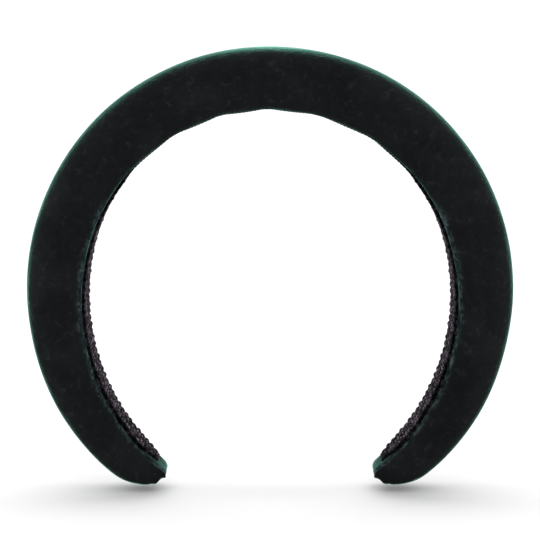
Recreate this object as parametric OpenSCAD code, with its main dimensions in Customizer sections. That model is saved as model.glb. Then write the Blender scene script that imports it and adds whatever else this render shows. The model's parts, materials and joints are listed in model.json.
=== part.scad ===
// Padded velvet headband: a springy horseshoe strip under a thick foam roll,
// wrapped in velvet and lined with a ribbon.
// Origin: centre of the head opening. +X to the right, +Z up to the crown, Y through the depth.
// The band is cut at two flex lines so that its arms can spread about the crown.

/* [Head opening] */
// Radius of the round part of the lining
opening_r = 65.3; // [60:0.1:72]
// Angle from the crown at which the arms leave the circle
flare_u = 75; // [70:1:84]
// How much flatter the arms curve from there down
arm_flare = 12.5; // [8:0.5:18]
// Angle from the crown down to the blunt end of each tip
tip_u = 141.4; // [134:0.2:144]

/* [Padding] */
// Thickness of the whole band from lining to outer skin
pad_t = 21.7; // [18:0.1:26]
// Extra thickness of the arms towards the tips
arm_full = 1.2; // [0:0.1:2]
// Depth of the band over the crown
pad_depth = 38; // [34:1:44]
// Depth of the band at the tips
tip_depth = 18; // [17:0.5:22]
// Thickness of the velvet
velvet_t = 1.0; // [0.8:0.1:1.2]

/* [Core strip] */
// Thickness of the springy plastic strip
core_t = 1.6; // [1.2:0.1:1.8]
// Width of the strip over the crown
core_w = 24; // [20:1:24]
// Width of the strip at its ends
core_tip_w = 12; // [10:1:12]
// How far the velvet turns in under each edge of the strip
hem_w = 6; // [4:0.5:7]

/* [Lining ribbon] */
// Thickness of the ribbon
ribbon_t = 0.8; // [0.6:0.1:0.8]
// Width of the ribbon round the circle
ribbon_w = 25; // [24:0.5:26]
// Width of the ribbon at its trimmed ends
ribbon_end_w = 16.5; // [15:0.5:18]

/* [Flex lines] */
// Angle of each flex line from the crown
flex_u = 45; // [40:1:50]
// Furthest that an arm spreads
spread_max = 15; // [8:1:16]
// Furthest that an arm springs inward
close_max = 4; // [2:1:5]

/* [Hidden] */
$fn = 96;
air = 0.1;                                  // air between two layers
hem_gap = 0.25;                             // between the ribbon and the turned-in velvet
hem_t = 0.9;                                // turned-in velvet, pressed thin
tape_t = 0.5;
outer_r = opening_r + pad_t;
low_r = opening_r + arm_flare;              // radius of the arms' inner face below the circle

// Radial stack, measured outward from the lining's inner face
hem_in = ribbon_t + hem_gap;                // inner side of the turned-in velvet
hem_out = hem_in + hem_t;
core_in = hem_out + air;
core_out = core_in + core_t;
tape_in = core_out + air;
tape_out = tape_in + tape_t;
foam_in = tape_out + air;
hinge_n = (core_in + core_out) / 2;         // neutral line of the strip
hinge_r = opening_r + hinge_n;

// Stations along an arm
ribbon_end_u = tip_u - 4.4;
pocket_u = ribbon_end_u + 0.4;              // where the tip pocket begins
core_end_u = tip_u - 2.8;
foam_end_u = tip_u - 1.6;
round_u = tip_u - 8.4;                      // where the roll starts to round off
tip_k = 0.64;                               // thickness left at the end of the rounding
tip_lift = 1.6;                             // how far the tip's inner side curls outward
hem_turn = 1 - 2 * hem_w / core_w;          // where a hem ends, as a share of the strip's half width
edge_r = 1.2;                               // room for the velvet round the strip's edge
waist = 0.38;                               // height of the roll's widest line
fullness = 2.3;                             // squareness of the roll's arched section
full_from = 94;                             // the extra thickness grows between these stations
full_to = 126;
taper_start = 2;                            // strip and ribbon narrow from this far below the circle
depth_curve = 1.8;                          // how late the band's depth narrows along an arm
short_by = 1;                               // tape and glue stop this many degrees early
flat_side = 5;                              // squareness of the tip pocket's inner side
pocket_waist = 0.45;                        // height of the pocket's widest line
end_scale = 0.8;                            // size of the pocket's blunt end face
tip_foam = 0.92;                            // foam inside the pocket, as a share of the roll's
arm_step = 4.5;                             // angle between rings
arch_step = 15;                             // angle between points round the arch

// ---- Centre line ----

// Unit vector out of the band at station u, in the XZ plane
function out_dir(u) = [sin(u), cos(u)];

// Point at station u, n outward from the lining's inner face
function arm_at(u, n) = u > flare_u
    ? (low_r + n) * out_dir(u) - arm_flare * out_dir(flare_u)
    : (opening_r + n) * out_dir(u);

// How far station u lies below the end of the circle, square to the radius there
function drop(u, n) = (low_r + n) * sin(u - flare_u);

// Share of the way from the flex line to the tip
function along(u) = max(0, min(1, (u - flex_u) / (tip_u - flex_u)));

// Half the depth of the band
function half_depth(u) = pad_depth / 2 - (pad_depth - tip_depth) / 2 * pow(along(u), depth_curve);

// Smooth step from 0 to 1
function eased(x) = let (t = max(0, min(1, x))) t * t * (3 - 2 * t);

// Thickness between the inner face and the round outer silhouette, fuller towards the tips
function full_t(u) = u > flare_u
    ? arm_flare * cos(u - flare_u)
        + sqrt(pow(outer_r, 2) - pow(arm_flare * sin(u - flare_u), 2)) - low_r
        + arm_full * eased((u - full_from) / (full_to - full_from))
    : pad_t;

// Rounding of the last stretch before the tip
function rounding(u) = u > round_u ? 1 - (1 - tip_k) * pow((u - round_u) / (tip_u - round_u), 2) : 1;
function roll_t(u) = full_t(u) * rounding(u);

// Half the width of the strip at station u
function core_half(u) =
    let (share = max(0, (drop(u, hinge_n) - taper_start) / (drop(core_end_u, hinge_n) - taper_start)))
    core_w / 2 - (core_w - core_tip_w) / 2 * share;

// ---- Cross sections, as [outward, depth] points ----

function signed_pow(v, p) = sign(v) * pow(abs(v), p);

// Right half of the roll, from its edge beside the strip to the middle of the crest
function half_roll(t, half, edge_n, edge_y) =
    let (mid = hem_in + (t - hem_in) * waist)
    concat(
        [for (b = [90 : -arch_step : 1])
            [mid - (mid - edge_n) * sin(b), edge_y + (half - edge_y) * cos(b)]],
        [for (a = [0 : arch_step : 90])
            [mid + (t - mid) * pow(sin(a), 2 / fullness), half * signed_pow(cos(a), 2 / fullness)]]
    );

// Whole outline, mirrored about the middle plane without doubling the crest point
function mirrored(half_outline) =
    let (last = len(half_outline) - 1)
    concat(half_outline, [for (i = [last - 1 : -1 : 0]) [half_outline[i][0], -half_outline[i][1]]]);

function foam_section(t, half, strip) =
    mirrored(half_roll(t - velvet_t - air, half - velvet_t - air, foam_in, strip + 2 * air));

// The velvet's C: round the roll and the strip's edges, with both hems turned in
function velvet_section(t, half, strip) =
    let (outer = half_roll(t, half, hem_in, strip + edge_r),
         inner = half_roll(t - velvet_t, half - velvet_t, hem_out, strip + 2 * air),
         hem_y = strip * hem_turn)
    concat(
        mirrored(concat([[hem_in, hem_y]], outer)),
        reversed(mirrored(concat([[hem_out, hem_y]], inner)))
    );

function reversed(list) = [for (i = [len(list) - 1 : -1 : 0]) list[i]];

// Closed section of the tip pocket, shrunk by skin on every side
function pocket_section(u, skin) =
    let (lift = tip_lift * pow(max(0, (u - pocket_u) / (tip_u - pocket_u)), 3),
         low = ribbon_t + lift + skin,
         high = roll_t(u) - skin,
         half = half_depth(u) - skin,
         mid = low + (high - low) * pocket_waist)
    [for (a = [0 : arch_step : 359])
        let (up = sin(a) >= 0)
        [mid + (up ? high - mid : mid - low) * signed_pow(sin(a), 2 / (up ? fullness : flat_side)),
         half * signed_pow(cos(a), 2 / (up ? fullness : flat_side))]];

// Section scaled about its own middle
function shrunk(section, k) =
    let (n = [for (p = section) p[0]], mid = (max(n) + min(n)) / 2)
    [for (p = section) [mid + (p[0] - mid) * k, p[1] * k]];

// ---- Solids ----

// One ring of 3D points: a section stood up at station u of the right arm
function ring(u, section) = [for (p = section) let (c = arm_at(u, p[0])) [c[0], p[1], c[1]]];

// Solid through rings that have the same number of points. A hollow ring is a band whose second
// half runs back along its first, so its end faces are strips across the band.
module loft(rings, hollow = false) {
    count = len(rings[0]);
    last = len(rings) - 1;
    sides = [for (i = [0 : last - 1], j = [0 : count - 1])
        let (k = (j + 1) % count)
        [i * count + k, i * count + j, (i + 1) * count + j, (i + 1) * count + k]];
    start = hollow
        ? [for (j = [0 : count / 2 - 2]) [j, j + 1, count - 2 - j, count - 1 - j]]
        : [[for (j = [0 : count - 1]) j]];
    end = [for (f = start) [for (j = [len(f) - 1 : -1 : 0]) last * count + f[j]]];
    polyhedron(points = [for (r = rings) each r], faces = concat(sides, start, end), convexity = 8);
}

// Stations from one angle to another, both included
function stations(from, to) =
    let (steps = ceil((to - from) / arm_step))
    [for (i = [0 : steps]) from + (to - from) * i / steps];

// A profile turned about the Y axis through the head opening, from angle a over angle sweep,
// where 0 is +X and 90 is the crown; the profile's x is the radius
module turned(a, sweep) {
    rotate([90, 0, 0]) rotate([0, 0, a]) rotate_extrude(angle = sweep) children();
}

// Room for the flex: a wedge on each side of the strip's neutral line at the right flex line
module flex_cut() {
    gap = 0.15;                             // half the slit at the neutral line
    margin = 1;                             // degrees of room beyond the limits
    up = 30;
    down = 8;
    out_x = gap + up * tan((spread_max + margin) / 2);
    in_x = gap + down * tan((close_max + margin) / 2);
    rotate([0, flex_u, 0]) translate([0, 0, hinge_r]) rotate([90, 0, 0])
        linear_extrude(height = 2 * pad_depth, center = true)
            polygon([[-gap, 0], [-in_x, -down], [in_x, -down], [gap, 0], [out_x, up], [-out_x, up]]);
}

// A crown piece: a section turned between the flex lines, with room cut for the flex
module crown_piece(section) {
    difference() {
        turned(90 - flex_u, 2 * flex_u)
            polygon([for (p = section) [opening_r + p[0], p[1]]]);
        flex_cut();
        mirror([1, 0, 0]) flex_cut();
    }
}

// A flat strip of constant thickness, from n_in to n_out, along the right arm to end_u,
// narrowing below the circle. It is made with the end of the circle on the X axis. The
// narrowing outline runs on past the strip's end, so that none of its corners meets an edge.
module arm_strip(n_in, n_out, wide, narrow, end_u) {
    thick = n_out - n_in;
    end_drop = drop(end_u, n_in);
    past = 5;
    slope = (wide - narrow) / 2 / (end_drop - taper_start);
    low_half = narrow / 2 - slope * past;
    difference() {
        rotate([0, flare_u - 90, 0]) union() {
            turned(0, flare_u - flex_u)
                translate([opening_r + n_in, -wide / 2]) square([thick, wide]);
            intersection() {
                translate([-arm_flare, 0, 0]) turned(0, flare_u - end_u)
                    translate([low_r + n_in, -wide / 2]) square([thick, wide]);
                rotate([90, 0, 90]) linear_extrude(height = 2 * outer_r)
                    polygon([[-wide, wide], [-wide, -taper_start], [-wide / 2, -taper_start],
                        [-low_half, -end_drop - past], [low_half, -end_drop - past],
                        [wide / 2, -taper_start], [wide, -taper_start], [wide, wide]]);
            }
        }
        flex_cut();
    }
}

function strip_section(n_in, n_out, wide) =
    [[n_in, -wide / 2], [n_out, -wide / 2], [n_out, wide / 2], [n_in, wide / 2]];

// ---- Core strip ----

module core_crown() {
    color("dimgray") crown_piece(strip_section(core_in, core_out, core_w));
}

module core_arm() {
    color("dimgray") arm_strip(core_in, core_out, core_w, core_tip_w, core_end_u);
}

// ---- Double-sided tape between the strip and the foam ----

tape_inset = 4;                             // how much narrower than the strip

module foam_tape_crown() {
    color("tan") crown_piece(strip_section(tape_in, tape_out, core_w - tape_inset));
}

module foam_tape_arm() {
    color("tan")
        arm_strip(tape_in, tape_out, core_w - tape_inset, core_tip_w - tape_inset,
            core_end_u - short_by);
}

// ---- Foam roll ----

module foam_crown() {
    color("khaki") crown_piece(foam_section(pad_t, pad_depth / 2, core_w / 2));
}

module foam_arm() {
    color("khaki") difference() {
        loft([for (u = stations(flex_u, foam_end_u))
            ring(u, shrunk(foam_section(roll_t(u), half_depth(u), core_half(u)),
                u > ribbon_end_u ? tip_foam : 1))]);
        flex_cut();
    }
}

// ---- Velvet cover ----

module velvet_crown() {
    color([0.11, 0.12, 0.12]) crown_piece(velvet_section(pad_t, pad_depth / 2, core_w / 2));
}

module velvet_arm() {
    color([0.11, 0.12, 0.12]) difference() {
        loft([for (u = stations(flex_u, ribbon_end_u))
            ring(u, velvet_section(roll_t(u), half_depth(u), core_half(u)))], hollow = true);
        flex_cut();
    }
}

// Blind velvet cup over the end of the arm
module tip_pocket() {
    end_angle = 0.7;                        // length of the rounded end
    skin = 0.9;
    color([0.14, 0.16, 0.16]) difference() {
        loft([
            for (u = stations(pocket_u, tip_u - end_angle)) ring(u, pocket_section(u, 0)),
            ring(tip_u, shrunk(pocket_section(tip_u, 0), end_scale))
        ]);
        loft([for (u = stations(pocket_u - 0.2, tip_u - end_angle)) ring(u, pocket_section(u, skin))]);
    }
}

// ---- Lining ----

glue_gap = 1;                               // the glue's width stops short of the hems by this much
glue_w = core_w * hem_turn - glue_gap;
glue_end_w = core_tip_w * hem_turn - glue_gap;

module lining_glue_crown() {
    color("ivory") crown_piece(strip_section(hem_in, hem_out, glue_w));
}

module lining_glue_arm() {
    color("ivory") arm_strip(hem_in, hem_out, glue_w, glue_end_w, ribbon_end_u - short_by);
}

module ribbon_crown() {
    color([0.22, 0.19, 0.22]) crown_piece(strip_section(0, ribbon_t, ribbon_w));
}

module ribbon_arm() {
    color([0.22, 0.19, 0.22])
        arm_strip(0, ribbon_t, ribbon_w, ribbon_end_w, ribbon_end_u);
}

module left() {
    mirror([1, 0, 0]) children();
}

core_crown();
left() core_arm();  // core_left_arm
core_arm();  // core_right_arm
foam_tape_crown();
left() foam_tape_arm();  // foam_tape_left_arm
foam_tape_arm();  // foam_tape_right_arm
foam_crown();
left() foam_arm();  // foam_left_arm
foam_arm();  // foam_right_arm
velvet_crown();
left() velvet_arm();  // velvet_left_arm
velvet_arm();  // velvet_right_arm
left() tip_pocket();  // tip_pocket_left
tip_pocket();  // tip_pocket_right
lining_glue_crown();
left() lining_glue_arm();  // lining_glue_left_arm
lining_glue_arm();  // lining_glue_right_arm
ribbon_crown();
left() ribbon_arm();  // ribbon_left_arm
ribbon_arm();  // ribbon_right_arm
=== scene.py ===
import json
import math

import bmesh
import bpy
import numpy as np
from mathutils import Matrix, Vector, noise


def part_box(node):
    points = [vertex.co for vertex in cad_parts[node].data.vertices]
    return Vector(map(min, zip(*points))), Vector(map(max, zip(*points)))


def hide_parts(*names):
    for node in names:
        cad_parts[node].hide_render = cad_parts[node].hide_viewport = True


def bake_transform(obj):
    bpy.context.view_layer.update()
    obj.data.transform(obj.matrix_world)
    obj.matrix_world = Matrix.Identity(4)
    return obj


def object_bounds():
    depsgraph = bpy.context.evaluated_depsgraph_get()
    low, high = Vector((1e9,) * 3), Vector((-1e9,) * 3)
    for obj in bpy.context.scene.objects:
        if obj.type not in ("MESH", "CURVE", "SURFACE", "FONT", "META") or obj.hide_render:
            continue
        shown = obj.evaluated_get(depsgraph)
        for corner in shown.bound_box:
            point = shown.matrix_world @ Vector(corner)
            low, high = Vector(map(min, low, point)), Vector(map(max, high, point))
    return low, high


# Padded velvet headband: velvet cover and ribbon lining over a foam roll and a sprung strip.
# Stations are angles in degrees from the crown, negative on the left arm and positive on the
# right. n is millimetres outward from the lining's inner face, y is millimetres through the depth.

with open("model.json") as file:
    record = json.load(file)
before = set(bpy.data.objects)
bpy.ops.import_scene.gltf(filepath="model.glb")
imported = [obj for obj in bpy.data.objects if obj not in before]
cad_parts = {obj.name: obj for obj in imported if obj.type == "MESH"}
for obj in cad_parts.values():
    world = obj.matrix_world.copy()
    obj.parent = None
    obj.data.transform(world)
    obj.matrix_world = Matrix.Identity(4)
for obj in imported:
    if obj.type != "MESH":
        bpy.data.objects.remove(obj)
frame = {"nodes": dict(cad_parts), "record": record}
cad_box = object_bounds()
nodes = frame["nodes"]

MM = 0.001

# ---- The band's shape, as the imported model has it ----

OPEN_R = frame["record"]["mounts"][0]["dims"]["r_mm"]
PAD_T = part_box("velvet_crown")[1].z / MM - OPEN_R
PAD_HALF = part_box("velvet_crown")[1].y / MM
RIBBON_T = 0.8
RIBBON_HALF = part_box("ribbon_crown")[1].y / MM
RIBBON_END_HALF = 8.25
STRIP_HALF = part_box("core_crown")[1].y / MM
STRIP_END_HALF = 6.0
TIP_HALF = 9.0
FLARE_U = 75.0
ARM_FLARE = 12.5
FLEX_U = 45.0
TIP_U = 141.4
ARM_FULL = 1.2
FULL_FROM, FULL_TO = 94.0, 126.0
OUTER_R = OPEN_R + PAD_T
LOW_R = OPEN_R + ARM_FLARE
RIBBON_END_U = TIP_U - 4.4
STRIP_END_U = TIP_U - 2.8
ROUND_U = TIP_U - 8.4
TIP_K = 0.64
TIP_LIFT = 0.7                              # the soft tip curls out less than the plain pocket
WAIST = 0.38
FULLNESS = 2.6                              # stuffed a little squarer than the plain roll
SHOULDER = 0.20                             # extra fullness either side of the crown
TAPER_START = 2.0
HEM_IN = RIBBON_T + 0.25
HINGE_N = HEM_IN + 1.8
VELVET_T = 1.0


def place(u, n, y):
    """Points of the row frame, in metres, at station u, n outward and y deep."""
    u, n, y = np.broadcast_arrays(*[np.asarray(v, float) for v in (u, n, y)])
    a, flare = np.radians(np.abs(u)), math.radians(FLARE_U)
    low = np.abs(u) > FLARE_U
    r = np.where(low, LOW_R, OPEN_R) + n
    x = r * np.sin(a) - np.where(low, ARM_FLARE * math.sin(flare), 0)
    z = r * np.cos(a) - np.where(low, ARM_FLARE * math.cos(flare), 0)
    return np.stack([np.sign(u) * x, y, z], -1) * MM


def smooth(x):
    x = np.clip(x, 0, 1)
    return x * x * (3 - 2 * x)


def half_depth(u):
    t = np.clip((abs(u) - FLEX_U) / (TIP_U - FLEX_U), 0, 1)
    return PAD_HALF - (PAD_HALF - TIP_HALF) * t**1.8


def roll_t(u):
    a = np.radians(np.maximum(abs(u) - FLARE_U, 0))
    t = ARM_FLARE * np.cos(a) + np.sqrt(OUTER_R**2 - (ARM_FLARE * np.sin(a)) ** 2) - LOW_R
    t = t + ARM_FULL * smooth((abs(u) - FULL_FROM) / (FULL_TO - FULL_FROM))
    t = t + SHOULDER * np.exp(-(((abs(u) - 38) / 17) ** 2))
    return t * (1 - (1 - TIP_K) * (np.maximum(abs(u) - ROUND_U, 0) / (TIP_U - ROUND_U)) ** 2)


def narrowed(u, wide, narrow, end_u, n):
    """Half width of the strip or the ribbon, which narrows below the round part."""
    drop = (LOW_R + n) * np.sin(np.radians(abs(u) - FLARE_U))
    end = (LOW_R + n) * math.sin(math.radians(end_u - FLARE_U))
    return wide - (wide - narrow) * np.maximum(0, (drop - TAPER_START) / (end - TAPER_START))


def strip_half(u):
    return narrowed(u, STRIP_HALF, STRIP_END_HALF, STRIP_END_U, HINGE_N)


def ribbon_half(u):
    return narrowed(u, RIBBON_HALF, RIBBON_END_HALF, RIBBON_END_U, 0)


# ---- Mesh helpers ----

def grid_faces(rows, cols, closed=False):
    faces = []
    for i in range(rows - 1):
        for j in range(cols if closed else cols - 1):
            k = (j + 1) % cols
            faces.append((i * cols + j, i * cols + k, (i + 1) * cols + k, (i + 1) * cols + j))
    return faces


def new_object(name, verts, faces, smooth_shading=True):
    me = bpy.data.meshes.new(name)
    me.from_pydata([tuple(map(float, v)) for v in verts], [], faces)
    me.update()
    if smooth_shading:
        me.shade_smooth()
    ob = bpy.data.objects.new(name, me)
    bpy.context.scene.collection.objects.link(ob)
    return ob


def tidy_normals(ob):
    bm = bmesh.new()
    bm.from_mesh(ob.data)
    bmesh.ops.recalc_face_normals(bm, faces=bm.faces)
    bm.to_mesh(ob.data)
    bm.free()


def coords(me):
    co = np.zeros(len(me.vertices) * 3)
    me.vertices.foreach_get("co", co)
    return co.reshape(-1, 3)


def set_coords(me, co):
    me.vertices.foreach_set("co", co.ravel())
    me.update()


def apply_modifiers(ob):
    dg = bpy.context.evaluated_depsgraph_get()
    me = bpy.data.meshes.new_from_object(ob.evaluated_get(dg), preserve_all_data_layers=True,
                                         depsgraph=dg)
    ob.modifiers.clear()
    old, ob.data = ob.data, me
    name = old.name
    bpy.data.meshes.remove(old)
    me.name = name
    me.shade_smooth()


def resampled(points, count):
    """count points at even spacing along a polyline."""
    seg = np.linalg.norm(np.diff(points, axis=0), axis=1)
    at = np.concatenate([[0], np.cumsum(seg)])
    want = np.linspace(0, at[-1], count)
    return np.stack([np.interp(want, at, points[:, k]) for k in range(points.shape[1])], 1)


# ---- Velvet cover ----
# One sheet from hem to hem round the roll. The velvet is drawn straight between the places where
# its allowance is notched, so the inner edge runs in short chords of an even pitch.

CHORD_PITCH = 16.0                          # degrees from one notch to the next
CHORD_UNEVEN = 1.5                          # degrees that a slow wave moves the notches by
CORNER_RISE = 0.55
LEAN_FROM = 134.0                           # the blunt end leans: longer inside, shorter outside
LEAN_IN, LEAN_OUT = 0.9, 0.5                # degrees past and short of the tip's station

HEM_N, EDGE_N, ARCH_N = 5, 12, 17


def chord_dip(u):
    """How far the inner edge lies inside its arc at station u."""
    half = CHORD_PITCH / 2
    off = (u + CHORD_UNEVEN * math.sin(math.radians(5 * u + 40))) % CHORD_PITCH - half
    return OPEN_R * (1 - math.cos(math.radians(half)) / math.cos(math.radians(off)))


def chord_shift(u):
    """How far the inner edge stands inward of its arc: more in a chord, less at a corner."""
    return 1.25 * chord_dip(u) - CORNER_RISE


def cover_section(u, inset=0.0):
    """Outline of the cover at station u from the hem on the +y side to the crest, [n, y]."""
    t, half, strip = roll_t(u) - inset, half_depth(u) - inset, strip_half(u)
    past = max(0.0, abs(u) - RIBBON_END_U)
    lift = TIP_LIFT * (past / (TIP_U - RIBBON_END_U)) ** 3
    low = HEM_IN + lift - 0.2 * smooth(past / 0.8) + inset
    hem = strip * 0.5 * (1 - smooth((abs(u) - RIBBON_END_U + 1.6) / 1.8))
    edge_y = strip + 1.2
    mid = low + (t - low) * WAIST
    arm = smooth((abs(u) - 42) / 14)
    groove = low - 0.35 + 0.45 * arm
    b = np.linspace(0, 1, 40)[:, None]
    side = [np.array(v) for v in (
        (groove, edge_y), (groove + 0.05 * (mid - groove), edge_y + 0.45 * (half - edge_y)),
        (groove + 0.24 * (mid - groove), half), (mid, half))]
    edge = ((1 - b) ** 3 * side[0] + 3 * (1 - b) ** 2 * b * side[1]
            + 3 * (1 - b) * b**2 * side[2] + b**3 * side[3])
    a = np.radians(np.linspace(0, 90, 60))
    arch = np.stack([mid + (t - mid) * np.sin(a) ** (2 / FULLNESS),
                     half * np.cos(a) ** (2 / FULLNESS)], 1)
    hem_line = np.array([[low, hem], [low, edge_y - 1.0], [low + 0.1, edge_y - 0.6],
                         [groove, edge_y]])
    pts = np.concatenate([
        resampled(hem_line, HEM_N + 1)[:-1],
        resampled(edge, EDGE_N + 1)[:-1],
        resampled(arch, ARCH_N + 1)])
    ribbon = ribbon_half(min(abs(u), RIBBON_END_U))
    free = smooth((pts[:, 1] - ribbon - 0.3) / 2.0)
    inner = 1 - smooth((pts[:, 0] - low) / (0.55 * (t - low)))
    pts[:, 0] -= chord_shift(u) * free * inner
    return pts


def cover_sheet():
    """Vertices of the whole cover, row by row from the left tip to the right tip."""
    cap = 6
    cap_r = 1.1
    body = np.linspace(-(TIP_U - cap_r), TIP_U - cap_r, 197)
    rows, stations = [], []
    for u in body:
        rows.append((u, cover_section(u)))
    end = []
    for k in range(1, cap):
        ang = math.radians(90 * k / (cap - 1))
        end.append((TIP_U - cap_r + cap_r * math.sin(ang), cap_r * 1.36 * (1 - math.cos(ang))))
    for k, shrink in enumerate((0.72, 0.46, 0.22, 0.04)):
        end.append((TIP_U + 0.12 * (k + 1) / 4, None, shrink))

    def cap_row(sign, spec):
        base = cover_section(TIP_U)
        mid_n = (base[:, 0].min() + base[:, 0].max()) / 2
        half_n, half_y = (base[:, 0].max() - base[:, 0].min()) / 2, base[:, 1].max()
        last = cap_r * 1.36
        if spec[1] is not None:
            kn, ky = 1 - spec[1] / half_n, 1 - spec[1] / half_y
        else:
            kn, ky = (1 - last / half_n) * spec[2], (1 - last / half_y) * spec[2]
        return sign * spec[0], np.stack([mid_n + (base[:, 0] - mid_n) * kn, base[:, 1] * ky], 1)

    left = [cap_row(-1, s) for s in reversed(end)]
    right = [cap_row(1, s) for s in end]
    verts = []
    for u, pts in left + rows + right:
        full = np.concatenate([pts, (pts * [1, -1])[-2::-1]])
        height = full[:, 0] / roll_t(TIP_U)
        lean = smooth((abs(u) - LEAN_FROM) / (TIP_U - LEAN_FROM)) * (
            LEAN_IN - (LEAN_IN + LEAN_OUT) * np.clip(height, 0, 1))
        verts.append(place(u + np.sign(u) * lean, full[:, 0], full[:, 1]))
        stations.append(u)
    return np.array(verts), np.array(stations)


def puckers(grid, stations):
    """Small folds across the inner edge and uneven stuffing, as offsets along the normal in mm."""
    rows, cols = grid.shape[:2]
    out = np.zeros((rows, cols))
    for i, u in enumerate(stations):
        for j in range(cols):
            p = Vector(grid[i, j]) / MM
            side = min(j, cols - 1 - j)
            edge = math.exp(-((side - HEM_N - 7) / 5.0) ** 2)
            wave = noise.noise(Vector((u * 0.21, 3.1 if j < cols / 2 else 9.4, side * 0.05)))
            fine = noise.noise(Vector((u * 0.75, 5.7 if j < cols / 2 else 1.3, side * 0.11)))
            soft = noise.noise(p * 0.055)
            low_arm = float(smooth((abs(u) - 88) / 14))
            ridge = math.exp(-((side - HEM_N - 2.2) / 0.9) ** 2)
            valley = math.exp(-((side - HEM_N - 4.2) / 0.9) ** 2)
            welt = low_arm * (0.30 * ridge - 0.38 * valley)
            out[i, j] = edge * (0.30 * wave + 0.16 * fine) + 0.22 * soft + welt
    return out


def cover_normals(grid):
    du = np.gradient(grid, axis=0)
    dv = np.gradient(grid, axis=1)
    n = np.cross(du, dv)
    return n / np.maximum(np.linalg.norm(n, axis=2, keepdims=True), 1e-12)


SIM_SCALE = 40.0                            # cloth settings suit furniture, so the band is enlarged


def simulate(ob, pinned, grow, limit, outward):
    """Lets the sheet settle as cloth under a little pressure, with its hems held. The even
    swelling of each lengthwise line is taken off again, which keeps the roll's thickness."""
    me = ob.data
    start = coords(me)
    set_coords(me, start * SIM_SCALE)
    pin = ob.vertex_groups.new(name="pin")
    for i, w in enumerate(pinned):
        pin.add([i], float(w), "REPLACE")
    ob.shape_key_add(name="Basis")
    key = ob.shape_key_add(name="cut")
    key.data.foreach_set("co", (grow * SIM_SCALE).ravel())
    key.value = 0
    cloth = ob.modifiers.new("Cloth", "CLOTH")
    s = cloth.settings
    s.quality = 6
    s.mass = 0.08
    s.tension_stiffness = 18
    s.compression_stiffness = 18
    s.shear_stiffness = 6
    s.bending_stiffness = 0.6
    s.tension_damping = s.compression_damping = s.shear_damping = 12
    s.air_damping = 3
    s.vertex_group_mass = "pin"
    s.rest_shape_key = key
    s.use_pressure = True
    s.uniform_pressure_force = 3
    s.effector_weights.gravity = 0
    cloth.collision_settings.use_collision = False
    cloth.collision_settings.use_self_collision = False
    cloth.point_cache.frame_start = 1
    cloth.point_cache.frame_end = 20
    for f in range(1, 21):
        bpy.context.scene.frame_set(f)
    dg = bpy.context.evaluated_depsgraph_get()
    done = coords(ob.evaluated_get(dg).to_mesh()) / SIM_SCALE
    ob.evaluated_get(dg).to_mesh_clear()
    ob.modifiers.clear()
    ob.shape_key_clear()
    ob.vertex_groups.clear()
    bpy.context.scene.frame_set(1)
    move = done - start
    swell = np.sum(move * outward.reshape(-1, 3), axis=1).reshape(outward.shape[:2]).mean(0)
    move -= (outward * swell[None, :, None]).reshape(-1, 3)
    size = np.linalg.norm(move, axis=1, keepdims=True)
    soft_cap = limit * np.tanh(size / limit) / np.maximum(size, 1e-9)
    set_coords(me, start + move * soft_cap)
    print("cloth moved", float(size.max() / MM), "mm at most,", float(size.mean() / MM), "mm usually")


grid, stations = cover_sheet()
normals = cover_normals(grid)
bumps = puckers(grid, stations)
sheet0 = grid + normals * bumps[..., None] * MM
rows, cols = grid.shape[:2]
cover = new_object("velvet_sheet", sheet0.reshape(-1, 3), grid_faces(rows, cols))

side = np.minimum(np.arange(cols), cols - 1 - np.arange(cols))
hold = np.where(side <= HEM_N + 1, 1.0, np.where(side <= HEM_N + 3, 0.4, 0.03))
pinned = np.tile(hold, rows)
ends = np.abs(stations) > TIP_U - 1.2
pinned = np.where(np.repeat(ends, cols), 1.0, pinned)
# The cloth was cut flat, so it has more length along the inner edges than it needs there.
spare = np.exp(-((side - HEM_N - 5) / 6.0) ** 2) * 0.02
cut = sheet0.copy()
cut[..., 0] *= 1 + spare
cut[..., 2] *= 1 + spare
simulate(cover, pinned, cut.reshape(-1, 3), 1.0 * MM, normals)

sheet1 = coords(cover.data).reshape(rows, cols, 3)
bpy.data.objects.remove(cover)


# Where the pile is pressed down: along the turned edges and at the gathered tips.
# The velvet material colours these places a lighter teal, painted sheen for the glint of the creased
# pile.
from_edge = np.minimum(np.arange(cols), cols - 1 - np.arange(cols)) - HEM_N
on_arm = smooth((np.abs(stations) - 52) / 16)
pressed = (1 - smooth((from_edge - 1.5) / 3.5)) * on_arm[:, None]
pressed = np.maximum(pressed, 0.5 * smooth((np.abs(stations) - TIP_U + 0.9) / 0.8)[:, None])


def whole_cover():
    """The cover in one piece, subdivided, with a row of vertices on the middle of the crown."""
    grid_now = sheet1.copy()
    grid_now[int(np.argmin(np.abs(stations))), :, 0] = 0
    ob = new_object("velvet_whole", grid_now.reshape(-1, 3), grid_faces(rows, cols))
    mark = ob.data.attributes.new("pressed", "FLOAT", "POINT")
    mark.data.foreach_set("value", pressed.ravel().astype(np.float32))
    sub = ob.modifiers.new("Subdivision", "SUBSURF")
    sub.levels = sub.render_levels = 1
    sub.boundary_smooth = "PRESERVE_CORNERS"
    apply_modifiers(ob)
    co = coords(ob.data)
    co[np.abs(co[:, 0]) < 0.15 * MM, 0] = 0
    set_coords(ob.data, co)
    return ob


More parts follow.
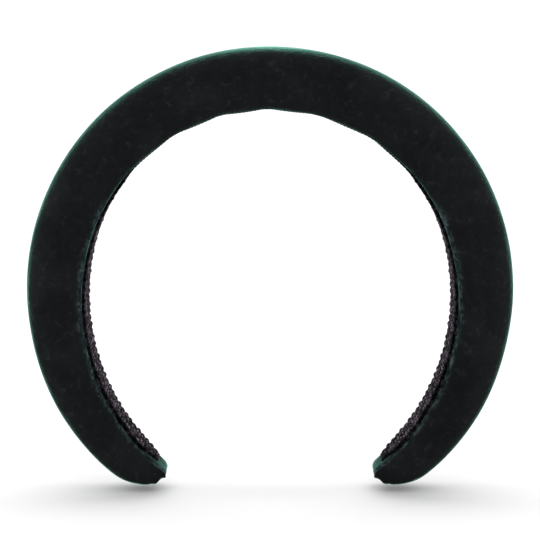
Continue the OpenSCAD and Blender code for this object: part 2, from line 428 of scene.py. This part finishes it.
def half_cover(whole, side):
    """The left or right half of the cover, which meets the other at the middle of the crown."""
    sign = -1 if side == "left" else 1
    ob = whole.copy()
    ob.data = whole.data.copy()
    ob.name = ob.data.name = f"velvet_cover_{side}"
    bpy.context.scene.collection.objects.link(ob)
    bm = bmesh.new()
    bm.from_mesh(ob.data)
    other = [f for f in bm.faces if f.calc_center_median().x * sign < 0]
    bmesh.ops.delete(bm, geom=other, context="FACES")
    bm.to_mesh(ob.data)
    bm.free()
    thick = ob.modifiers.new("Thickness", "SOLIDIFY")
    thick.thickness = VELVET_T * MM
    thick.offset = -1
    thick.use_rim = True
    thick.use_even_offset = False
    apply_modifiers(ob)
    ob.data.set_sharp_from_angle(angle=math.radians(60))
    return ob


whole = whole_cover()
covers = {s: half_cover(whole, s) for s in ("left", "right")}
bpy.data.objects.remove(whole)

# ---- Foam roll ----

FOAM_INSET = 2.5                            # room for the velvet between the foam and its outside
FOAM_BASE = 4.35                            # the roll's flat face, just clear of the tape


def half_foam(side):
    sign = -1 if side == "left" else 1
    us = np.linspace(0, TIP_U - 1.9, 72)
    verts = []
    for u in us:
        pts = cover_section(u, inset=FOAM_INSET)
        pts = pts[HEM_N + 2:]
        pts[:, 0] = np.maximum(pts[:, 0], FOAM_BASE)
        if abs(u) > RIBBON_END_U:
            pts *= [1, 0.94]
        full = np.concatenate([pts, (pts * [1, -1])[-2::-1]])
        verts.append(place(sign * u, full[:, 0], full[:, 1]))
    n = len(verts[0])
    verts = np.array(verts).reshape(-1, 3)
    faces = grid_faces(len(us), n, closed=True)
    faces.append(tuple(range(n)))
    faces.append(tuple(reversed(range((len(us) - 1) * n, len(us) * n))))
    ob = new_object(f"foam_roll_{side}", verts, faces)
    tidy_normals(ob)
    return ob


foams = {s: half_foam(s) for s in ("left", "right")}

# ---- Lining ribbon ----
# A chunky knitted ribbon. Its wales are columns of slanted stitches in pairs, and a picot of round
# teeth runs down both edges and curls towards the head.

STITCH = 1.35                               # length of one stitch
WALE = 1.92                                 # width of one column of stitches
TOOTH_PITCH = 2.4
TOOTH_OUT = 0.5                             # how far a tooth stands out sideways
TOOTH_IN = 0.70                             # how far it curls in on the arms
RIBBON_STEP = 0.29
END_TAPER = 0.4                             # the last 9 mm narrow by this share
BEDDING = 0.2                               # how far the ribbon's back sinks into the hems


def arc_length(u):
    """Length along the lining from the crown to station u, in mm."""
    return math.radians(min(u, FLARE_U)) * OPEN_R + math.radians(max(0, u - FLARE_U)) * LOW_R


def station_at(length):
    """Station at a length along the lining."""
    first = math.radians(FLARE_U) * OPEN_R
    if length <= first:
        return math.degrees(length / OPEN_R)
    return FLARE_U + math.degrees((length - first) / LOW_R)


def knit(s, y, half):
    """Raised height of the knit, 0 to 1, at length s and depth y of a ribbon of that half width."""
    c = np.abs((y / WALE) % 1 - 0.5) * 2
    wobble = 0.12 * np.sin(y * 2.1 + s * 0.37)
    along = np.cos(math.pi * (s / STITCH + 0.48 * c + wobble)) ** 2
    stitch = along**0.75 * np.maximum(0, np.sin(math.pi * c)) ** 0.65
    border = smooth((half - 0.9 - np.abs(y)) / 0.5)
    return 0.08 + 0.92 * stitch * border


def half_ribbon(side):
    sign = -1 if side == "left" else 1
    total = arc_length(RIBBON_END_U + 1.0)
    lengths = np.linspace(0, total, int(total / RIBBON_STEP) + 1)
    across = np.linspace(-1, 1, 87)
    last = len(across) - 1
    top, bottom, relief, uv = [], [], [], []
    for s in lengths:
        u = station_at(s)
        half = float(ribbon_half(min(u, RIBBON_END_U)))
        half *= 1 - END_TAPER * float(smooth((s - total + 9) / 9))
        tooth_no = math.floor(s / TOOTH_PITCH)
        uneven = 0.8 + 0.2 * math.sin(2.4 * tooth_no)
        bead = abs(math.sin(math.pi * s / TOOTH_PITCH)) ** 0.8 * uneven
        rim = smooth((np.abs(across) - 0.90) / 0.10)
        y = across * (half - 0.25) + np.sign(across) * TOOTH_OUT * bead * rim
        high = knit(s, y, half)
        tooth = np.exp(-((np.abs(across) - 0.955) / 0.03) ** 2) * bead
        end_fade = float(smooth((total - s) / 1.0))
        arm = float(smooth((u - 40) / 16))
        pile = 0.28 + 0.35 * arm
        curl = 0.10 + TOOTH_IN * arm
        n = 0.62 - 0.32 * arm - (pile * high * (1 - tooth) + curl * tooth) * end_fade
        n = n - np.clip(chord_shift(sign * u), -0.3, 0.6) * (1 - arm)
        top.append(place(sign * u, n, y))
        bottom.append(place(sign * u, HEM_IN + BEDDING, y[[0, last]] * 0.985))
        relief.append(np.maximum(high, tooth))
        uv.append(np.stack([np.full_like(y, s * sign), y], 1))
    rows_n, cols_n = len(lengths), len(across)
    count = rows_n * cols_n
    verts = np.concatenate([np.array(top).reshape(-1, 3), np.array(bottom).reshape(-1, 3)])
    faces = grid_faces(rows_n, cols_n)
    for i in range(rows_n - 1):
        a, b = count + 2 * i, count + 2 * i + 2
        t0, t1 = i * cols_n, (i + 1) * cols_n
        faces += [(a, b, b + 1, a + 1), (t0, t1, b, a), (t1 + last, t0 + last, a + 1, b + 1)]
    faces.append((*range(cols_n - 1, -1, -1), count, count + 1))
    end = (rows_n - 1) * cols_n
    faces.append((*range(end, end + cols_n), count + 2 * rows_n - 1, count + 2 * rows_n - 2))
    ob = new_object(f"lining_ribbon_{side}", verts, faces)
    level = ob.data.attributes.new("relief", "FLOAT", "POINT")
    # The knit's height also paints shade into the lining; the side walls get 0.6 so the painted shade
    # leaves them lighter than the hollows
    level.data.foreach_set("value", np.concatenate(
        [np.concatenate(relief), np.full(2 * rows_n, 0.6)]).astype(np.float32))
    flat = np.concatenate([np.concatenate(uv), np.zeros((2 * rows_n, 2))])
    layer = ob.data.uv_layers.new(name="cloth")
    loops = np.zeros(len(ob.data.loops), int)
    ob.data.loops.foreach_get("vertex_index", loops)
    layer.data.foreach_set("uv", (flat[loops] / 10).ravel())
    tidy_normals(ob)
    return ob


ribbons = {s: half_ribbon(s) for s in ("left", "right")}

# ---- Materials ----


class Nodes:
    """Small helper that builds a node tree."""

    def __init__(self, name):
        self.mat = bpy.data.materials.new(name)
        self.mat.use_nodes = True
        self.tree = self.mat.node_tree
        self.shader = next(n for n in self.tree.nodes if n.type == "BSDF_PRINCIPLED")

    def add(self, kind, **values):
        node = self.tree.nodes.new("ShaderNode" + kind)
        for k, v in values.items():
            setattr(node, k, v)
        return node

    def link(self, a, b):
        self.tree.links.new(a, b)

    def coord(self):
        return self.add("TexCoord").outputs["Object"]

    def noise(self, vector, scale, detail=3.0, rough=0.5, distortion=0.0):
        n = self.add("TexNoise")
        n.inputs["Scale"].default_value = scale
        n.inputs["Detail"].default_value = detail
        n.inputs["Roughness"].default_value = rough
        n.inputs["Distortion"].default_value = distortion
        self.link(vector, n.inputs["Vector"])
        return n.outputs["Fac"]

    def ramp(self, fac, stops):
        r = self.add("ValToRGB")
        el = r.color_ramp.elements
        while len(el) < len(stops):
            el.new(0.5)
        for e, (at, col) in zip(el, stops):
            e.position = at
            e.color = (*col, 1) if len(col) == 3 else (col[0],) * 3 + (1,)
        self.link(fac, r.inputs["Fac"])
        return r.outputs["Color"]

    def mix(self, blend, fac, a, b):
        n = self.add("Mix", data_type="RGBA", blend_type=blend)
        if isinstance(fac, (int, float)):
            n.inputs["Factor"].default_value = fac
        else:
            self.link(fac, n.inputs["Factor"])
        self.link(a, n.inputs[6])
        self.link(b, n.inputs[7])
        return n.outputs[2]

    def mapped(self, fac, low, high, to_low, to_high):
        m = self.add("MapRange")
        ends = {"From Min": low, "From Max": high, "To Min": to_low, "To Max": to_high}
        for key, v in ends.items():
            m.inputs[key].default_value = v
        self.link(fac, m.inputs["Value"])
        return m.outputs["Result"]

    def bump(self, height, strength, distance, after=None):
        b = self.add("Bump")
        b.inputs["Strength"].default_value = strength
        b.inputs["Distance"].default_value = distance
        self.link(height, b.inputs["Height"])
        if after is not None:
            self.link(after, b.inputs["Normal"])
        return b.outputs["Normal"]

    def set(self, **values):
        for k, v in values.items():
            self.shader.inputs[k.replace("_", " ")].default_value = v


def velvet_material():
    m = Nodes("velvet_bottle_green")
    at = m.coord()
    crush = m.noise(at, 55, 3, 0.55, 0.6)
    fleck = m.noise(at, 380, 4, 0.65, 0.8)
    pile = m.noise(at, 2600, 2, 0.6)
    base = m.ramp(crush, [(0.30, (0.0080, 0.0084, 0.0091)), (0.50, (0.0098, 0.0103, 0.0110)),
                          (0.70, (0.0124, 0.0132, 0.0136))])
    tint = m.ramp(fleck, [(0.30, (0.80, 0.80, 0.82)), (0.58, (1.0, 1.0, 1.0)),
                          (0.70, (1.75, 1.80, 1.80))])
    deep = m.mix("MULTIPLY", 1, base, tint)
    # Painted sheen: a lighter teal for the pressed pile along the turned edges and at the tips
    flat = m.ramp(fleck, [(0.34, (0.004, 0.006, 0.008)), (0.50, (0.014, 0.022, 0.024)),
                          (0.66, (0.060, 0.082, 0.082))])
    pressed = m.add("Attribute", attribute_name="pressed").outputs["Fac"]
    m.link(m.mix("MIX", pressed, deep, flat), m.shader.inputs["Base Color"])
    m.link(m.mapped(fleck, 0.3, 0.7, 0.78, 0.96), m.shader.inputs["Roughness"])
    m.set(Specular_IOR_Level=0.0, Sheen_Weight=1.0, Sheen_Roughness=0.20)
    m.shader.inputs["Sheen Tint"].default_value = (0.30, 0.82, 0.64, 1)
    lay = m.bump(crush, 0.35, 0.0022)
    fuzz = m.bump(fleck, 0.55, 0.00045, lay)
    m.link(m.bump(pile, 0.6, 0.00012, fuzz), m.shader.inputs["Normal"])
    return m.mat


def ribbon_material():
    m = Nodes("lining_knit")
    at = m.coord()
    cloth = m.add("UVMap", uv_map="cloth").outputs["UV"]
    thread = m.add("TexWave", wave_type="BANDS", bands_direction="DIAGONAL")
    thread.inputs["Scale"].default_value = 11
    thread.inputs["Distortion"].default_value = 3
    thread.inputs["Detail"].default_value = 2
    m.link(cloth, thread.inputs["Vector"])
    fibre = m.noise(at, 3200, 3, 0.6)
    stretch = m.add("Mapping")
    stretch.inputs["Scale"].default_value = (1, 0.5, 1)
    m.link(at, stretch.inputs["Vector"])
    shade = m.noise(stretch.outputs["Vector"], 560, 3, 0.7)
    high = m.add("Attribute", attribute_name="relief").outputs["Fac"]
    # Painted shade and highlight: near black in the knit's hollows, lighter on its raised stitches,
    # after the knit's height
    base = m.ramp(high, [(0.15, (0.0030, 0.0026, 0.0032)), (0.60, (0.026, 0.023, 0.027)),
                         (0.98, (0.100, 0.086, 0.102))])
    uneven = m.ramp(shade, [(0.42, (0.06, 0.06, 0.07)), (0.52, (0.70, 0.68, 0.72)),
                            (0.60, (3.0, 2.85, 3.0))])
    m.link(m.mix("MULTIPLY", 1, base, uneven), m.shader.inputs["Base Color"])
    m.link(m.mapped(fibre, 0.3, 0.7, 0.38, 0.62), m.shader.inputs["Roughness"])
    m.set(Specular_IOR_Level=0.02)
    twist = m.bump(thread.outputs["Fac"], 0.6, 0.00015)
    m.link(m.bump(fibre, 0.6, 0.00008, twist), m.shader.inputs["Normal"])
    return m.mat


def foam_material():
    m = Nodes("open_cell_foam")
    at = m.coord()
    cells = m.add("TexVoronoi", feature="DISTANCE_TO_EDGE")
    cells.inputs["Scale"].default_value = 1400
    m.link(at, cells.inputs["Vector"])
    age = m.noise(at, 60, 4, 0.6)
    base = m.ramp(age, [(0.3, (0.66, 0.61, 0.47)), (0.7, (0.80, 0.77, 0.64))])
    m.link(base, m.shader.inputs["Base Color"])
    m.link(m.mapped(age, 0.3, 0.7, 0.85, 0.98), m.shader.inputs["Roughness"])
    m.set(Specular_IOR_Level=0.2)
    m.link(m.bump(cells.outputs["Distance"], 0.8, 0.0003), m.shader.inputs["Normal"])
    return m.mat


def plastic_material():
    m = Nodes("sprung_plastic")
    at = m.coord()
    grain = m.noise(at, 1800, 3, 0.6)
    haze = m.noise(at, 90, 3, 0.5)
    base = m.ramp(haze, [(0.3, (0.010, 0.010, 0.011)), (0.7, (0.017, 0.017, 0.018))])
    m.link(base, m.shader.inputs["Base Color"])
    m.link(m.mapped(haze, 0.3, 0.7, 0.38, 0.55), m.shader.inputs["Roughness"])
    m.link(m.bump(grain, 0.25, 0.00008), m.shader.inputs["Normal"])
    return m.mat


def adhesive_material():
    m = Nodes("tape_and_glue")
    at = m.coord()
    smear = m.noise(at, 240, 4, 0.6, 0.8)
    base = m.ramp(smear, [(0.3, (0.52, 0.44, 0.28)), (0.7, (0.70, 0.62, 0.45))])
    m.link(base, m.shader.inputs["Base Color"])
    m.link(m.mapped(smear, 0.3, 0.7, 0.25, 0.5), m.shader.inputs["Roughness"])
    m.link(m.bump(smear, 0.5, 0.0003), m.shader.inputs["Normal"])
    return m.mat


def paper_material():
    m = Nodes("pale_floor")
    at = m.coord()
    tone = m.noise(at, 3, 3, 0.5)
    m.link(m.ramp(tone, [(0.3, (0.86, 0.86, 0.86)), (0.7, (0.90, 0.90, 0.90))]),
           m.shader.inputs["Base Color"])
    m.set(Roughness=0.9, Specular_IOR_Level=0.1)
    return m.mat


velvet, lining, foam = velvet_material(), ribbon_material(), foam_material()
plastic, adhesive = plastic_material(), adhesive_material()


def give(ob, material):
    ob.data.materials.clear()
    ob.data.materials.append(material)


for name, ob in nodes.items():
    if name.startswith("core"):
        give(ob, plastic)
    elif name.startswith(("foam_tape", "lining_glue")):
        give(ob, adhesive)
    elif name.startswith("foam"):
        give(ob, foam)
    elif name.startswith("ribbon"):
        give(ob, lining)
    else:
        give(ob, velvet)

# ---- The soft halves take the CAD parts' place ----

BEND_SPAN = 0.022


def span(side):
    """Start and end of the stretch that bends, along the band at the flex line."""
    sign = -1 if side == "left" else 1
    hinge = place(sign * FLEX_U, HINGE_N, 0)
    along = np.array([sign * math.cos(math.radians(FLEX_U)), 0, -math.sin(math.radians(FLEX_U))])
    return tuple(hinge - along * BEND_SPAN), tuple(hinge + along * BEND_SPAN)


for side in ("left", "right"):
    arm, (start, end) = f"{side}_arm", span(side)
    cover, roll, ribbon = covers[side], foams[side], ribbons[side]
    give(cover, velvet)
    give(roll, foam)
    give(ribbon, lining)
    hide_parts("velvet_crown", f"velvet_{arm}", f"tip_pocket_{side}")
    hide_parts("foam_crown", f"foam_{arm}")
    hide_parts("ribbon_crown", f"ribbon_{arm}")
    for ob, slot in ((cover, "velvet"), (roll, "foam"), (ribbon, "lining")):
        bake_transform(ob)

# ---- Floor, light and camera ----

floor_mesh = bpy.data.meshes.new("floor")
floor_mesh.from_pydata([(-12, -12, 0), (12, -12, 0), (12, 12, 0), (-12, 12, 0)], [], [(0, 1, 2, 3)])
floor = bpy.data.objects.new("floor", floor_mesh)
floor.location.z = cad_box[0].z - 0.0012
bpy.context.scene.collection.objects.link(floor)
give(floor, paper_material())


def soft_sun(name, source, energy, spread):
    """A soft distant light that shines from the direction source."""
    sun = bpy.data.lights.new(name, "SUN")
    sun.energy = energy
    sun.angle = math.radians(spread)
    ob = bpy.data.objects.new(name, sun)
    ob.rotation_euler = Vector(source).to_track_quat("Z", "Y").to_euler()
    bpy.context.scene.collection.objects.link(ob)


soft_sun("overhead", (0, 0.62, 0.79), 1.4, 80)
soft_sun("left_rim", (-1, 0.1, 0.04), 2.4, 26)
soft_sun("right_rim", (1, 0.1, 0.04), 2.4, 26)

world = bpy.context.scene.world or bpy.data.worlds.new("studio")
bpy.context.scene.world = world
world.use_nodes = True
background = next(n for n in world.node_tree.nodes if n.type == "BACKGROUND")
background.inputs["Color"].default_value = (1, 1, 1, 1)
background.inputs["Strength"].default_value = 0.9

bpy.context.scene.view_settings.view_transform = "Standard"

camera_data = bpy.data.cameras.new("camera")
camera_data.lens = 161.7
camera_data.sensor_width = 36
camera_data.clip_end = 100
camera = bpy.data.objects.new("camera", camera_data)
aim = Vector((0, 0, 0.0074))
elevation, distance = math.radians(8.5), 0.87
camera.location = aim + distance * Vector((0, -math.cos(elevation), math.sin(elevation)))
camera.rotation_euler = (aim - camera.location).to_track_quat("-Z", "Y").to_euler()
bpy.context.scene.collection.objects.link(camera)
bpy.context.scene.camera = camera
